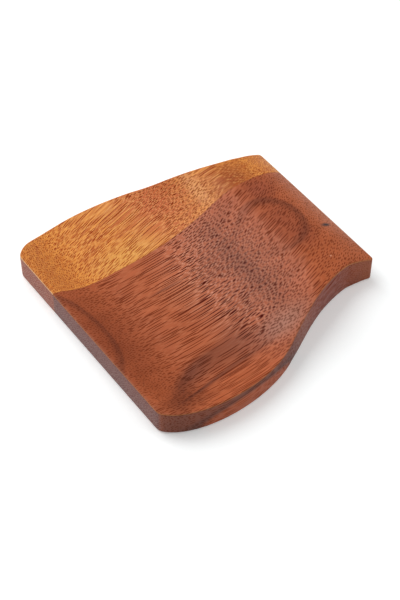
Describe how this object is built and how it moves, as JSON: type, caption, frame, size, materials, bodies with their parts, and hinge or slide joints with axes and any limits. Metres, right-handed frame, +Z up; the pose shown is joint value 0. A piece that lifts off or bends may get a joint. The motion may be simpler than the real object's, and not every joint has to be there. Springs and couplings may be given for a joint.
{
  "type": "spoon rest",
  "caption": "Flat-bottomed carved wooden spoon rest of two glued staves, with a low bowl for the spoon's head and a raised crest that carries its neck.",
  "frame": {"origin": "middle of the flat underside, under the centre of the overall box", "axes": "+X along the length and the grain, from the bowl end to the handle end; +Y across the width, towards the sapwood stave; +Z up"},
  "size_m": [0.14, 0.144, 0.0222],
  "materials": {
    "heartwood": "oiled satin, dark open pores along the grain",
    "sapwood": "oiled satin, fine brown pores along the grain",
    "glue": "cured wood glue, sanded flush"
  },
  "bodies": {
    "root": {"heartwood_stave": "heartwood", "glue_line": "glue", "sapwood_stave": "sapwood"}
  },
  "joints": []
}
